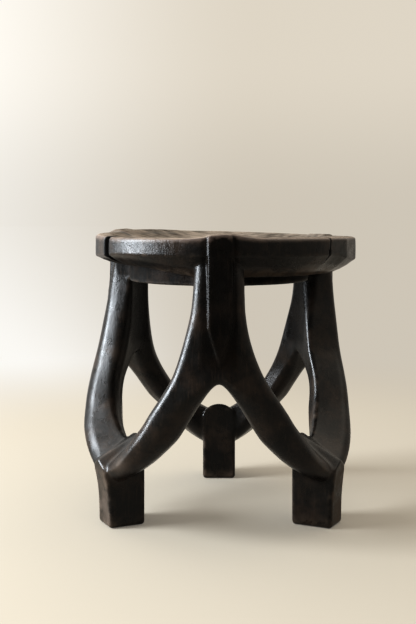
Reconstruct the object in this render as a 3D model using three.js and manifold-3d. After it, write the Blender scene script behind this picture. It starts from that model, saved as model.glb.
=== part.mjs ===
// Three-footed stool carved from one block of dark stained wood, in millimetres, +Z up.
// A round dished seat stands on three columns. Each column forks below into two arms, which curve
// down and outwards on a barrel-shaped wall to the two feet beside it, so that the wall is open
// in three tall windows under the seat and three pointed arches between the feet.
// The front column faces -Y. The origin is on the floor, in the middle of the stool's bounding box.
import * as THREE from "three";
import { mergeVertices } from "three/addons/utils/BufferGeometryUtils.js";
import Module from "manifold-3d";

const wasm = await Module();
wasm.setup();

// Where the legs' common axis stands, measured from the origin.
const AXIS_X = -1.3;
const AXIS_Y = 1.5;

// Azimuths in degrees, counted from the front towards +X.
const COLUMN_AZIMUTHS = [0, 120, 240];
const FOOT_AZIMUTHS = [60, 180, 300];

// Seat: a dished slab on a low drum. The seat's centre is a little to the right of the legs' axis.
const SEAT_SHIFT_X = 8.6;
const SEAT_RADIUS = 171.5;
const RIM_TOP = 358.8;
const RIM_BOTTOM = 338;
const DISH_FLOOR = 348;
const BOWL_BOTTOM = 309;
const DRUM_RADIUS = 118;
const DRUM_AT_COLUMNS = 133;
const DRUM_WIDENS_FROM = 18;
const DRUM_WIDENS_TO = 8;
const DRUM_TOP = 328;
const SEAT_UNDERSIDE = 302.5;
const SEAT_SIDES = 60;
// Radius and height, from the middle of the dish out over the rim, and back in under the bowl.
const DISH_PROFILE = [
  [0, DISH_FLOOR], [60, DISH_FLOOR], [110, 350.6], [138, 354.6], [152, RIM_TOP],
  [SEAT_RADIUS - 3, RIM_TOP], [SEAT_RADIUS, RIM_TOP - 3],
];
const BOWL_PROFILE = [
  [SEAT_RADIUS, RIM_BOTTOM], [SEAT_RADIUS - 3, RIM_BOTTOM - 2], [160, 326], [150, 318],
  [140, 312.5], [110, BOWL_BOTTOM], [0, BOWL_BOTTOM],
];
// The rim is highest over the front column and along the left rear.
const RIM_RISE_FRONT = 5.2;
const RIM_RISE_FRONT_SPREAD = 9;
const RIM_RISE_REAR_LEFT = 4;
const RIM_DROP_REAR_RIGHT = 2;
// Towards both sides the rim reaches further down: the azimuth where it does most, and how far.
// The bowl under it stays the same below BOWL_EVEN.
const RIM_DEEPER = [[95, 9], [-95, 5]];
const BOWL_EVEN = 316;

// An open drying crack runs in from the rim over the front left foot.
const CRACK_AZIMUTH = -60.5;
const CRACK_WIDTH = 6.5;
const CRACK_DEPTH = 13;
const CRACK_BOTTOM = 323;
const CRACK_TOP = 383;
const CRACK_OVERSHOOT = 8;

// Barrel wall: height and radius of its outer and inner face.
const WALL_OUTER = [
  [0, 165.5], [40, 166.5], [56, 169], [74, 172], [92, 174.8], [112, 175.6],
  [166, 176], [230, 173.6], [264, 172.5], [300, 169.3], [318, 166.5], [334, 160],
];
const WALL_INNER = [
  [0, 122.5], [75, 122.5], [100, 125], [131, 131], [150, 135],
  [175, 135], [200, 132], [230, 130], [300, 129], [340, 129],
];
// The right rear column and its arms are thicker on the inside: height and how much.
const RIGHT_REAR_THICKENING = [[60, 0], [90, 10], [125, 10], [160, 7.5], [200, 7.5], [280, 0]];
const RIGHT_REAR_FULL = 20;
const RIGHT_REAR_END = 60;
// The wall leans a little: feet and column tops stand to the right, the bulge to the left.
const WALL_LEAN = [[0, 2.3], [50, 2], [120, -1.9], [200, -0.8], [260, 1.8], [300, 4.6]];

// One arm, from the seat down to the foot, on the wall unrolled at this radius. Each row has the
// distance from the column's middle and the height of the arm's window edge, the same of its arch
// edge, and how much higher the inner face's window edge and arch edge lie.
const UNROLL_RADIUS = 152;
const ARM_ROWS = [
  [27, 332, -4, 332, 0, 0],
  [28, 290, -4, 290, 0, 0],
  [32, 260, -4, 245, 0, 0],
  [44, 213, -3, 198, 0, 0],
  [55, 186, 14.6, 169, 0, 1],
  [75.5, 152, 38.5, 130, 2, 3],
  [91, 129, 58, 106, 7, 5],
  [124, 96, 98, 73, 18, 9],
  [162, 75, 162, 44, 22, 6],
];
const ARM_STEPS = 20;
const REAR_ARCH_RISE = 6;
// Two window edges stand nearer to their column's middle at this height: column, side, how much.
const TRIMMED_EDGES = [[0, 1, 4], [120, 1, 4.5]];
const TRIM_HEIGHT = 238;
const TRIM_SPREAD = 45;
const WINDOW_CHAMFER = 5.5;
const WINDOW_INNER_ROUND = 7;
const ARCH_OUTER_ROUND = 24;
const ARCH_INNER_ROUND = 16;
const FORK_ROUND_FROM = 200;
const FORK_ROUND_TO = 150;
const FOOT_ROUNDNESS = 0.3;

// Pilaster: the flat facet with sloping flanks down the front of each column.
const PILASTER_POINT = 198;
const PILASTER_FULL = 248;
const PILASTER_HALF = 13.7;
const PILASTER_FLANK = 0.7;
const PILASTER_SPAN = 10;
const PILASTER_FACE = [[198, 174.8], [248, 177], [300, 173.8], [340, 173]];
const PILASTER_ROOT = 6;
const PILASTER_FOOTING = 24.5;
const PILASTER_STEPS = 8;

// Foot: a post that is wider inside than outside, with a rounded ridge on top between the arms.
const FOOT_INNER = 119.5;
const RIGHT_FOOT_INWARDS = 2;
const FOOT_OUTER_HALF = 13.5;
const FOOT_INNER_HALF = 24;
const FOOT_PROUD = 1.2;
const FOOT_EDGE = 4;
const FOOT_WAIST = 42;
const FOOT_CORNER = 2.5;
const FOOT_COLUMNS = 8;
const HEAD_RIDGE_INNER = 110;
const HEAD_RIDGE_OUTER = 77;
const HEAD_ROUND = 20;

const DEGREE = Math.PI / 180;
const { lerp, clamp, smoothstep } = THREE.MathUtils;

// The value at x on straight lines between rows of [x, value].
function along(rows, x) {
  const last = rows.length - 1;
  if (x <= rows[0][0]) return rows[0][1];
  if (x >= rows[last][0]) return rows[last][1];
  const k = rows.findIndex((row) => row[0] > x);
  const [x0, v0] = rows[k - 1];
  const [x1, v1] = rows[k];
  return lerp(v0, v1, (x - x0) / (x1 - x0));
}

const wrapped = (degrees) => ((((degrees + 180) % 360) + 360) % 360) - 180;

function outerRadius(z, azimuth) {
  return along(WALL_OUTER, z) + along(WALL_LEAN, z) * Math.sin(azimuth * DEGREE);
}

function innerRadius(z, azimuth) {
  const fromColumn = Math.abs(wrapped(azimuth - COLUMN_AZIMUTHS[1]));
  const near = 1 - smoothstep(fromColumn, RIGHT_REAR_FULL, RIGHT_REAR_END);
  return along(WALL_INNER, z) - near * along(RIGHT_REAR_THICKENING, z);
}

// The point at a radius and azimuth about the legs' axis.
function around(radius, azimuth, z) {
  const a = azimuth * DEGREE;
  return new THREE.Vector3(radius * Math.sin(a), -radius * Math.cos(a), z);
}

// The point at a distance out from the axis in the plane of an azimuth, and sideways from it.
function beside(out, sideways, azimuth, z) {
  const a = azimuth * DEGREE;
  return new THREE.Vector3(
    out * Math.sin(a) + sideways * Math.cos(a),
    -out * Math.cos(a) + sideways * Math.sin(a),
    z,
  );
}

// A closed geometry as a solid, with every vertex moved by place. A place that mirrors the geometry
// turns its faces inwards, so the corners are then listed the other way round.
function solid(geometry, place) {
  const plain = geometry.clone();
  plain.deleteAttribute("normal");
  plain.deleteAttribute("uv");
  const merged = mergeVertices(plain, 1e-4);
  const position = merged.getAttribute("position");
  const p = new THREE.Vector3();
  for (let i = 0; i < position.count; i++) {
    const q = place(p.fromBufferAttribute(position, i));
    position.setXYZ(i, q.x, q.y, q.z);
  }
  const vertProperties = new Float32Array(position.array);
  const triVerts = new Uint32Array(merged.index.array);
  const made = new wasm.Manifold(new wasm.Mesh({ numProp: 3, vertProperties, triVerts }));
  if (made.volume() > 0) return made;
  triVerts.reverse();
  return new wasm.Manifold(new wasm.Mesh({ numProp: 3, vertProperties, triVerts }));
}

function spline(column, heightColumn, liftColumn) {
  const points = ARM_ROWS.map((row) => {
    const lift = liftColumn === undefined ? 0 : row[liftColumn];
    return new THREE.Vector2(row[column], row[heightColumn] + lift);
  });
  return new THREE.SplineCurve(points);
}

const windowOuter = spline(0, 1);
const windowInner = spline(0, 1, 4);
const archOuter = spline(2, 3);
const archInner = spline(2, 3, 5);

// Points of an arc from one angle to the other, both in degrees.
function arc(x, y, radius, from, to, steps) {
  return Array.from({ length: steps + 1 }, (_, i) => {
    const a = lerp(from, to, i / steps) * DEGREE;
    return new THREE.Vector2(x + radius * Math.cos(a), y + radius * Math.sin(a));
  });
}

// An arm's section: x runs from the arch side to the window side, y from the inner face outwards.
function armSection(width, depth, roundness) {
  const outer = lerp(2, Math.min(ARCH_OUTER_ROUND, width * 0.55), roundness);
  const inner = lerp(2, Math.min(ARCH_INNER_ROUND, width * 0.4), roundness);
  const rim = WINDOW_INNER_ROUND;
  return [
    new THREE.Vector2(width - WINDOW_CHAMFER, depth),
    new THREE.Vector2(lerp(outer, width - WINDOW_CHAMFER, 0.5), depth),
    ...arc(outer, depth - outer, outer, 90, 180, 4),
    ...arc(inner, inner, inner, 180, 270, 3),
    new THREE.Vector2(lerp(inner, width - rim, 0.5), 0),
    ...arc(width - rim, rim, rim, -90, 0, 2),
    new THREE.Vector2(width, depth - WINDOW_CHAMFER),
  ];
}

const SECTION_SIDES = armSection(40, 45, 1).length;

// One arm from its column's middle to the foot, to the side of +1 or -1.
function arm(columnAzimuth, side) {
  const footAzimuth = wrapped(columnAzimuth + side * 60);
  const archRise = Math.abs(footAzimuth) > 170 ? REAR_ARCH_RISE : 0;
  const trimmed = TRIMMED_EDGES.find(([column, at]) => column === columnAzimuth && at === side);
  const trim = trimmed ? trimmed[2] : 0;
  const tube = new THREE.CylinderGeometry(1, 1, 1, SECTION_SIDES, ARM_STEPS);
  return solid(tube, (p) => {
    const t = clamp(0.5 - p.y, 0, 1);
    const edges = [windowOuter, windowInner, archOuter, archInner].map((c) => c.getPoint(t));
    for (const edge of edges.slice(0, 2)) {
      edge.x -= trim * Math.exp(-(((edge.y - TRIM_HEIGHT) / TRIM_SPREAD) ** 2));
    }
    const rise = archRise * smoothstep(edges[2].x, 0, 40);
    edges[2].y += rise;
    edges[3].y += rise;
    const middle = (edges[0].y + edges[2].y) / 2;
    const azimuthAt = (s) => columnAzimuth + (side * s) / UNROLL_RADIUS / DEGREE;
    const width = edges[0].distanceTo(edges[2]);
    const here = azimuthAt((edges[0].x + edges[2].x) / 2);
    const depth = outerRadius(middle, here) - innerRadius(middle, here);
    const belowFork = 1 - smoothstep(edges[2].y, FORK_ROUND_TO, FORK_ROUND_FROM);
    const roundness = belowFork * lerp(1, FOOT_ROUNDNESS, smoothstep(edges[2].x, 98, 150));
    const section = armSection(width, depth, roundness);
    const turn = Math.atan2(p.x, p.z) / (2 * Math.PI);
    const index = Math.round(side * turn * SECTION_SIDES + 4 * SECTION_SIDES) % SECTION_SIDES;
    const onAxis = Math.hypot(p.x, p.z) < 0.5;
    const q = onAxis ? new THREE.Vector2(width / 2, depth / 2) : section[index];
    const across = q.x / width;
    const outwards = q.y / depth;
    const windowSide = edges[1].clone().lerp(edges[0], outwards);
    const archSide = edges[3].clone().lerp(edges[2], outwards);
    const { x: s, y: z } = archSide.lerp(windowSide, across);
    const azimuth = azimuthAt(s);
    const radius = lerp(innerRadius(z, azimuth), outerRadius(z, azimuth), outwards);
    return around(radius, azimuth, z);
  });
}

// The pilaster of a column: a prism whose flat face narrows to a point over the fork. Its top is
// flush with the rim.
function pilaster(columnAzimuth) {
  const outline = new THREE.Shape();
  outline.moveTo(-1, 0);
  outline.lineTo(1, 0);
  outline.lineTo(1, 1);
  outline.lineTo(0.5, 2);
  outline.lineTo(-0.5, 2);
  outline.lineTo(-1, 1);
  outline.closePath();
  const steps = PILASTER_STEPS;
  const prism = new THREE.ExtrudeGeometry(outline, { depth: 1, steps, bevelEnabled: false });
  return solid(prism, (p) => {
    const nearAzimuth = columnAzimuth + p.x * PILASTER_SPAN;
    const top = RIM_TOP + rimRise(nearAzimuth) - 1;
    const z = lerp(PILASTER_POINT, top, p.z);
    const grown = clamp((z - PILASTER_POINT) / (PILASTER_FULL - PILASTER_POINT), 0.02, 1);
    const leaning = along(WALL_LEAN, z) * Math.sin(columnAzimuth * DEGREE);
    const face = along(PILASTER_FACE, z) + leaning;
    const proud = face - outerRadius(z, columnAzimuth);
    const flat = PILASTER_HALF * grown;
    const drop = Math.max(0, proud) + PILASTER_ROOT * grown + 1;
    const footing = Math.min(flat + drop / PILASTER_FLANK, PILASTER_FOOTING);
    if (p.y > 1.5) return beside(face, 2 * p.x * flat, columnAzimuth, z);
    if (p.y > 0.5) return beside(face - drop, p.x * footing, columnAzimuth, z);
    return beside(face - drop - 2, p.x * footing * 0.8, columnAzimuth, z);
  });
}

// The height of the rim's top, above or below RIM_TOP, round the seat.
function rimRise(turnedAzimuth) {
  const azimuth = wrapped(turnedAzimuth);
  const rearLeft = Math.max(0, Math.cos((azimuth - 215) * DEGREE));
  const rearRight = Math.max(0, Math.cos((azimuth - 125) * DEGREE));
  const front = Math.exp(-((azimuth / RIM_RISE_FRONT_SPREAD) ** 2));
  return RIM_RISE_FRONT * front + RIM_RISE_REAR_LEFT * rearLeft - RIM_DROP_REAR_RIGHT * rearRight;
}

// How much further down than RIM_BOTTOM the rim reaches, round the seat.
function rimDeeper(azimuth) {
  const depths = RIM_DEEPER.map(([most, depth]) => {
    const near = Math.cos((azimuth - most) * DEGREE);
    return depth * smoothstep(near, 0.7, 0.95);
  });
  return Math.max(...depths);
}

function seat() {
  const rows = [...DISH_PROFILE, ...BOWL_PROFILE].reverse();
  const profile = rows.map(([radius, z]) => new THREE.Vector2(radius, z));
  const turned = new THREE.LatheGeometry(profile, SEAT_SIDES);
  return solid(turned, (p) => {
    const radius = Math.hypot(p.x, p.z);
    const azimuth = Math.atan2(p.x, p.z) / DEGREE;
    const onRim = smoothstep(p.y, DISH_FLOOR, RIM_TOP);
    const under = p.y <= RIM_BOTTOM ? smoothstep(p.y, BOWL_EVEN, RIM_BOTTOM - 5) : 0;
    const z = p.y + rimRise(azimuth) * onRim - rimDeeper(azimuth) * under;
    const place = around(radius, azimuth, z);
    place.x += SEAT_SHIFT_X;
    return place;
  });
}

// The low drum under the seat. It widens towards the columns and joins their tops.
function drum() {
  const height = DRUM_TOP - SEAT_UNDERSIDE;
  const disc = new THREE.CylinderGeometry(1, 1, height, SEAT_SIDES);
  return solid(disc, (p) => {
    const azimuth = Math.atan2(p.x, p.z) / DEGREE;
    const offColumn = Math.min(...COLUMN_AZIMUTHS.map((at) => Math.abs(wrapped(azimuth - at))));
    const near = 1 - smoothstep(offColumn, DRUM_WIDENS_TO, DRUM_WIDENS_FROM);
    const radius = Math.hypot(p.x, p.z) * lerp(DRUM_RADIUS, DRUM_AT_COLUMNS, near);
    return around(radius, azimuth, SEAT_UNDERSIDE + height / 2 + p.y);
  });
}

// The wedge of air in the open crack, which narrows towards the seat's middle.
function crack() {
  const wedge = new THREE.Shape();
  wedge.moveTo(-CRACK_WIDTH / 2, SEAT_RADIUS + CRACK_OVERSHOOT);
  wedge.lineTo(0, SEAT_RADIUS - CRACK_DEPTH);
  wedge.lineTo(CRACK_WIDTH / 2, SEAT_RADIUS + CRACK_OVERSHOOT);
  wedge.closePath();
  const depth = CRACK_TOP - CRACK_BOTTOM;
  const cut = new THREE.ExtrudeGeometry(wedge, { depth, bevelEnabled: false });
  return solid(cut, (p) => {
    const place = beside(p.y, -p.x, CRACK_AZIMUTH, CRACK_BOTTOM + p.z);
    place.x += SEAT_SHIFT_X;
    return place;
  });
}

// A foot: a block whose top is arched across, and slopes down from the inner face to the outer.
function foot(footAzimuth) {
  const inner = FOOT_INNER - (footAzimuth === FOOT_AZIMUTHS[0] ? RIGHT_FOOT_INWARDS : 0);
  const lastRow = 3;
  const block = new THREE.BoxGeometry(2, 1, 1, FOOT_COLUMNS, 1, lastRow);
  return solid(block, (p) => {
    const outwards = p.y + 0.5;
    const turn = (p.x * Math.PI) / 2;
    const springing = lerp(HEAD_RIDGE_INNER, HEAD_RIDGE_OUTER, outwards) - HEAD_ROUND;
    const rows = [0, FOOT_EDGE, FOOT_WAIST, springing + HEAD_ROUND * Math.cos(turn)];
    const z = rows[Math.round((p.z + 0.5) * lastRow)];
    const pull = Math.max(0, FOOT_EDGE - z);
    const half = lerp(FOOT_INNER_HALF, FOOT_OUTER_HALF, outwards) - pull;
    const corner = Math.abs(p.x) > 0.99 ? FOOT_CORNER : 0;
    const near = inner + pull + corner;
    const far = outerRadius(z, footAzimuth) + FOOT_PROUD - pull - corner;
    return beside(lerp(near, far, outwards), Math.sin(turn) * half, footAzimuth, z);
  });
}

function stool() {
  let body = seat().subtract(crack()).add(drum());
  for (const azimuth of COLUMN_AZIMUTHS) {
    body = body.add(pilaster(azimuth)).add(arm(azimuth, 1)).add(arm(azimuth, -1));
  }
  for (const azimuth of FOOT_AZIMUTHS) body = body.add(foot(azimuth));
  return body.translate([AXIS_X, AXIS_Y, 0]);
}

const stainedWood = new THREE.MeshStandardMaterial({
  name: "stained_wood",
  color: 0x1c1613,
  roughness: 0.38,
  metalness: 0,
});

function asMesh(name, body, material) {
  const { vertProperties, triVerts } = body.getMesh();
  const geometry = new THREE.BufferGeometry();
  geometry.setAttribute("position", new THREE.BufferAttribute(vertProperties, 3));
  geometry.setIndex(new THREE.BufferAttribute(triVerts, 1));
  geometry.computeVertexNormals();
  const mesh = new THREE.Mesh(geometry, material);
  mesh.name = name;
  return mesh;
}

const part = new THREE.Group();
part.add(asMesh("carved_stool", stool(), stainedWood));

export default part;
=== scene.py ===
"""Looks of the carved stool: its worked surface, stained wood, floor, light and camera.

The shape is a signed distance in millimetres from the same named sizes as the solid, meshed on a
grid, so that the joins are blended and the hand-worked relief lies on a true surface.
"""

import math

import bpy
import numpy as np
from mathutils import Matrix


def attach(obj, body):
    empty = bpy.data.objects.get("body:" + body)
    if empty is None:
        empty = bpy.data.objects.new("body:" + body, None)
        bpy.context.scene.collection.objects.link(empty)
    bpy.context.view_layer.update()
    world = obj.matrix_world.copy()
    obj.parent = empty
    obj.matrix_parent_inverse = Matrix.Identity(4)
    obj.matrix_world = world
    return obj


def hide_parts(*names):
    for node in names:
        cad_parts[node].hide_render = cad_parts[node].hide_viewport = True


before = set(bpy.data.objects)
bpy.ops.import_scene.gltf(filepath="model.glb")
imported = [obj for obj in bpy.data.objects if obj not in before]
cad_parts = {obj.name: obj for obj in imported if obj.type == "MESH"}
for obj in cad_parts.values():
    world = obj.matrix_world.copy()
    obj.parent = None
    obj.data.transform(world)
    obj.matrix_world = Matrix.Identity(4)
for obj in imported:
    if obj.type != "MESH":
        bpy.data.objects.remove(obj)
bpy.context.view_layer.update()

# Where the legs' axis stands, and the seat's centre to the right of it.
AXIS_X, AXIS_Y = -1.3, 1.5
SEAT_SHIFT_X = 8.6

# Seat.
SEAT_RADIUS = 171.5
RIM_TOP, RIM_BOTTOM = 358.8, 338.0
DISH_FLOOR, BOWL_BOTTOM = 348.0, 309.0
# The drum under the seat is wider within these angles from a column's middle.
DRUM_RADIUS, DRUM_AT_COLUMNS, DRUM_WIDENS = 118.0, 133.0, (8, 18)
SEAT_UNDERSIDE, DRUM_TOP, DRUM_EDGE = 300.0, 330.0, 2.0
# Radius and height of the seat's section, from the middle of the dish round to the bowl's middle.
SEAT_PROFILE = [
    (0, 348), (60, 348), (110, 350.6), (138, 354.6), (151, 358.4), (156, 359.1), (167.5, 358.8),
    (170.6, 357.6), (171.5, 355.2), (171.5, 339), (170.4, 337), (168, 334.8), (160, 326),
    (150, 318), (140, 312.5), (110, 309), (0, 309),
]
RIM_RISE_FRONT, RIM_RISE_FRONT_SPREAD = 5.2, 9.0
RIM_RISE_REAR_LEFT, REAR_LEFT = 4.0, 215
RIM_DROP_REAR_RIGHT, REAR_RIGHT = 2.0, 125
RIM_STEP, RIM_STEP_AZIMUTHS = 2.2, (106.5, 108.5, 135, 165)
# Towards both sides the rim reaches further down: azimuth where most, and how far. It fades in
# between two cosines of the angle from there, and between two radii, up to just below the rim.
RIM_DEEPER = [(95, 9), (-95, 5)]
DEEPER_NEAR, DEEPER_OVER, DEEPER_UP_TO = (0.7, 0.95), (100, 150), RIM_TOP - 3
# On the left the bowl is flatter: how much, and the azimuths, leftwards, over which it begins and
# ends.
BOWL_FLATTER, BOWL_FLATTER_SPAN = 12.0, (8, 55, 115, 160)
# Flat facets hewn on the rim beside the cracks: first and last azimuth, and their depth at most.
RIM_FLATS = [(-78, -62.5), (47, 61.5), (61.5, 78), (100, 122), (-122, -102), (150, 170)]
RIM_FLAT_DEPTH = 3

# Open cracks in the rim: azimuth, width at the rim, depth, lowest and highest height. The third
# row is a wider spot in the second crack.
CRACKS = [
    (-59.8, 14.0, 24, 314, 370), (47.3, 2.0, 9, 328, 370), (47.3, 4.6, 8, 339, 343.5),
    (158, 2.6, 16, 322, 370),
]
# How far a crack wanders, and over which length, on its way up and on its way outwards.
CRACK_WANDER_UP, CRACK_WANDER_OUT = (1.1, 7.0), (0.7, 4.3)

# Wall: height and radius of the outer and the inner face, and its lean to the right.
WALL_OUTER = [
    (0, 165.5), (40, 166.5), (56, 169), (74, 172), (92, 174.8), (112, 175.6),
    (166, 176), (230, 173.6), (264, 172.5), (300, 169.3), (318, 166.5), (334, 160),
]
WALL_INNER = [
    (0, 122.5), (75, 122.5), (100, 125), (131, 131), (150, 135),
    (175, 135), (200, 132), (230, 130), (300, 129), (340, 129),
]
WALL_LEAN = [(0, 2.3), (50, 2), (120, -1.9), (200, -0.8), (260, 1.8), (300, 4.6)]
WALL_TOP = 336
# The right column is thicker inwards, by height, and fades out between two angles beside it.
RIGHT_REAR_THICKENING = [(60, 0), (90, 10), (125, 10), (160, 7.5), (200, 7.5), (280, 0)]
RIGHT_REAR_SPAN = (20, 60)

# Edges of an arm on the wall unrolled at this radius: distance from the column's middle, height.
UNROLL_RADIUS = 152.0
WINDOW_EDGE = [
    (27, 345), (27, 332), (28, 290), (32, 260), (44, 213), (55, 186), (75.5, 152), (91, 127),
    (124, 88), (162, 64),
]
WINDOW_EDGE_INSIDE = [
    (27, 345), (27, 332), (28, 290), (32, 260), (44, 213), (55, 186), (75.5, 154), (91, 136),
    (124, 114), (162, 97),
]
ARCH_EDGE = [
    (-40, 262), (-12, 213), (0, 193), (14.6, 169), (38.5, 130), (58, 106), (98, 73), (162, 44),
]
ARCH_EDGE_INSIDE = [
    (-40, 262), (-12, 213), (0, 193), (14.6, 170), (38.5, 133), (58, 111), (98, 82), (162, 50),
]
# Beside the rear foot the arch edge first rises, then drops: by distance from the column.
REAR_ARCH_RISE = [(0, 0), (40, 6), (85, 4), (110, -8), (140, -14), (162, -14)]
# The arches' tops are rounded, and their edges stand nearer to the column's middle.
ARCH_TOP_ROUND, ARCH_NEARER = 7.0, 2
# To the right of the front and of the right column the window's edge is trimmed at this height.
TRIM_FRONT, TRIM_RIGHT, TRIM_HEIGHT, TRIM_SPREAD = 4.0, 4.5, 238.0, 45.0
# Radius of the edges along the windows: on the front column's arms by distance from its middle,
# on the left column's by height, outside and inside, and on the right column's.
FRONT_ROUND = [(0, 12), (50, 11), (115, 11), (162, 9)]
LEFT_OUTER_ROUND = [(90, 14), (120, 14), (180, 20), (240, 18), (290, 12)]
LEFT_INNER_ROUND = [(90, 9), (130, 16), (230, 16), (285, 7)]
RIGHT_OUTER_ROUND, WINDOW_INNER_ROUND = 13.0, 8.0
RIGHT_INNER_ROUND = [(190, 7), (235, 8), (275, 17), (300, 20)]
# Towards the foot, between two distances from the column's middle, all outer edges get this.
OUTER_ROUND_AT_FOOT, TOWARDS_FOOT = 9.0, (125, 155)
# The front column's arms are wider by this much.
FRONT_FULLER = 1.4
# The left column's flank turns outwards beyond a radius: how steeply, from which radius, how
# gradually, and the heights between which it begins.
LEFT_CROWN, LEFT_CROWN_FROM, LEFT_CROWN_EASE, LEFT_CROWN_HEIGHTS = 0.22, 149.0, 6, (90, 130)
# How much further out the left column's outer face stands, by height, and the angles beside it
# between which that fades out.
LEFT_SWELL = [(40, 0), (84, 2), (126, 3.2), (182, 6.6), (223, 4.8), (270, 2), (300, 0.5)]
LEFT_SWELL_SPAN = (30, 55)
# Radius of the edges along the arches, by height: crisp over the fork, round on the arms.
ARCH_OUTER_ROUND = [(60, 17), (105, 26), (155, 28), (200, 4)]
ARCH_INNER_ROUND = [(155, 16), (200, 4)]

# Pilaster down the front of each column: heights of its point and of where it is full width,
# half width of its face, steepness of its flanks, and half width of its footing in the column.
PILASTER_POINT, PILASTER_FULL = 208.0, 256.0
PILASTER_HALF, PILASTER_FLANK, PILASTER_FOOTING = 13.7, 4.5, 24.5
PILASTER_CORNER, PILASTER_ROOT, PILASTER_TOP_CHAMFER, PILASTER_JOIN = 1.2, 6, 2.0, 1.0
# Its top lies a little below the rim. It reaches inwards to a radius, and less far at the top.
PILASTER_BELOW_RIM = 0.8
PILASTER_INNER_END, PILASTER_TOP_SHORTER, SHORTER_HEIGHTS = 140, 20, (335, 345)
# The front one stands a little to the right of its column's middle.
PILASTER_SHIFT = 1.5
# Height and radius of its face.
PILASTER_FACE = [(196, 171.5), (208, 174.6), (252, 177.4), (300, 174.2), (340, 173.4)]

# Foot: radii, half widths, and how far it stands proud of the arms.
FOOT_INNER, FOOT_OUTER, RIGHT_FOOT_INWARDS = 119.5, 167, 2.0
FOOT_OUTER_HALF, FOOT_INNER_HALF = 18.0, 24.0
FOOT_PROUD, FOOT_EDGE, FOOT_ROUND = 1.2, 5.0, 4.5
# Its head: a ridge that falls outwards, arched inside and roof-shaped outside, and the distances
# from the inner face between which one becomes the other.
HEAD_RIDGE_INNER, HEAD_RIDGE_OUTER, HEAD_OUTER = 110.0, 84.0, 172
HEAD_ROUND, HEAD_SLOPE, HEAD_RIDGE_EASE, HEAD_TO_ROOF = 20.0, 0.75, 3, (4, 34)
HEAD_HALF_LIMITS, HEAD_REACH_LIMIT, HEAD_STEEPNESS, HEAD_EDGE = (8, 30), 0.995, 0.8, 2

# Radii with which the seat joins the drum, the legs join the seat, in front and elsewhere, and
# the feet join the arms.
SEAT_JOIN, FRONT_JOIN, REAR_JOIN, FOOT_JOIN = 2, 2.0, 8.0, 4.0

# Tool marks: size and seed of the hollows, their stretch, and their depth everywhere, on the
# upper half, on the rim and under the seat. The rings are the marks in the dish.
MARKS = [
    (10.0, 3, (1.0, 1.0, 0.55), (0.10, 0.1, 0.08, 0.35)),
    (6.5, 41, (1.0, 1.0, 1.0), (0.02, 0.08, 0.1, 0.0)),
]
RINGS_SIZE, RINGS_SEED, RINGS_STRETCH, RINGS_DEPTH = 9.0, 21, (0.6, 0.6, 0.2), 0.35
# Lumps: depth, size and seed. Pits: depth on the upper half and under the seat, size and seed.
LUMPS = [(0.3, 40.0, 5), (0.08, 15.0, 9)]
PITS_UPPER, PITS_UNDER, PITS_SIZE, PITS_SEED = 0.06, 0.3, 5.0, 11
# Mean depth of the marks, how much a crisp edge is spared, and the relief's limits.
MARKS_MEAN, EDGE_SPARED, CRISP, RELIEF_LIMITS = 0.15, 0.7, (0.08, 0.25), (-1.2, 0.8)

# Worn ends of the arms beside the front feet: azimuth and amount, then where and how wide.
NOSE_WEAR = [(-44, 0.9), (44, 0.4)]
NOSE_RADIUS, NOSE_HEIGHT, NOSE_SPREAD = 175, 84.0, 13.0

# Where the wood is bare, dusty, rough or dull, and where bounce light and shade are painted on
# it. A pair is where a mask begins and where it is full, or where it begins to fade and where it
# is gone; heights and radii are in millimetres.
# The dish, by how far a face turns up, and by height.
FACING_UP, DISH_FROM = (0.75, 0.95), (344, 348)
# The seat's underside, which widens with height.
UNDER_FROM, UNDER_TO, UNDER_WIDENS, UNDER_RADIUS = (300, 304), (333, 338), 0.25, (146, 152)
RIM_FROM, ROUGH_FROM, SOLE_HEIGHTS = (334, 338), (200, 300), (1.0, 4.0)
# The outer faces of the feet: by how far a face turns out, by height, and by angle.
FACING_OUT, FACET_TO, FACET_SPAN, TOE_TO = (0.80, 0.95), (62, 78), (5.0, 7.0), (3.0, 16.0)
# A strip under the rim, of worn wood and of painted bounce light from the floor on the faces
# turned down to it: by how far a face turns down, by height, and by the seat's radius.
FACING_DOWN, STRIP_FROM, STRIP_TO, STRIP_RADIUS = (0.5, 0.8), (308, 312), (318, 326), (120, 140)
# Worn edges, by how sharply the surface bends; dull wood, and the painted shade at the top of the
# right column, have less of them.
EDGE_CONVEX, MATT_AND_SHADE_FEWER_EDGES = (0.12, 0.36), 0.8
TOP_EDGE_CONVEX, TOP_EDGE_FROM = (0.16, 0.34), (353, 357)
# Painted shade inside the cracks, by how far inside one a point lies.
SPLIT_DEPTH = (-1.4, -0.4)
# Dull pilasters, by the distance from the column's middle, and by height.
PILASTER_DULL, PILASTER_DULL_FROM = (19, 24), (200, 215)
# Painted shade inside the top of the right column, towards the window beside it: the wood is made
# darker and duller there.
SHADED_AZIMUTH, SHADED_SPREAD, SHADED_RADIUS = 108.0, 10.0, (138, 147)
SHADED_FROM, SHADED_TO = (262, 285), (318, 326)

# Grid on which the surface is found: its corners, its step, and the steps and number of blocks
# that are worked out at once.
GRID_LOW, GRID_HIGH, GRID_STEP = (-190.0, -186.0, -8.0), (190.0, 186.0, 374.0), 2.0
BLOCK, BLOCKS_AT_ONCE, FAR_AWAY = 8, 400, 99.0
# Corners of the plane in which an arm's edges are drawn, and of the one with the seat's section.
ARM_PLANE, SEAT_PLANE = ((-60, -20), (190, 380)), ((0, 282), (260, 400))
# Half the diagonal of a cube of side one, the steepest that the distance gets, and some slack.
HALF_DIAGONAL, STEEPEST, SLACK = 0.87, 1.4, 2
# Limits of one move onto the surface, and of one towards a crease as a share of the step.
FLATTEST, LONGEST_MOVE, CREASE_MOVE = 0.3, 1.5, 0.8
# How far apart the points lie that give the normal, and the bend of the surface.
NORMAL_REACH, CURVE_REACH = 0.8, 4.0
TRIANGLES = 190000
MM = 0.001


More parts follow.
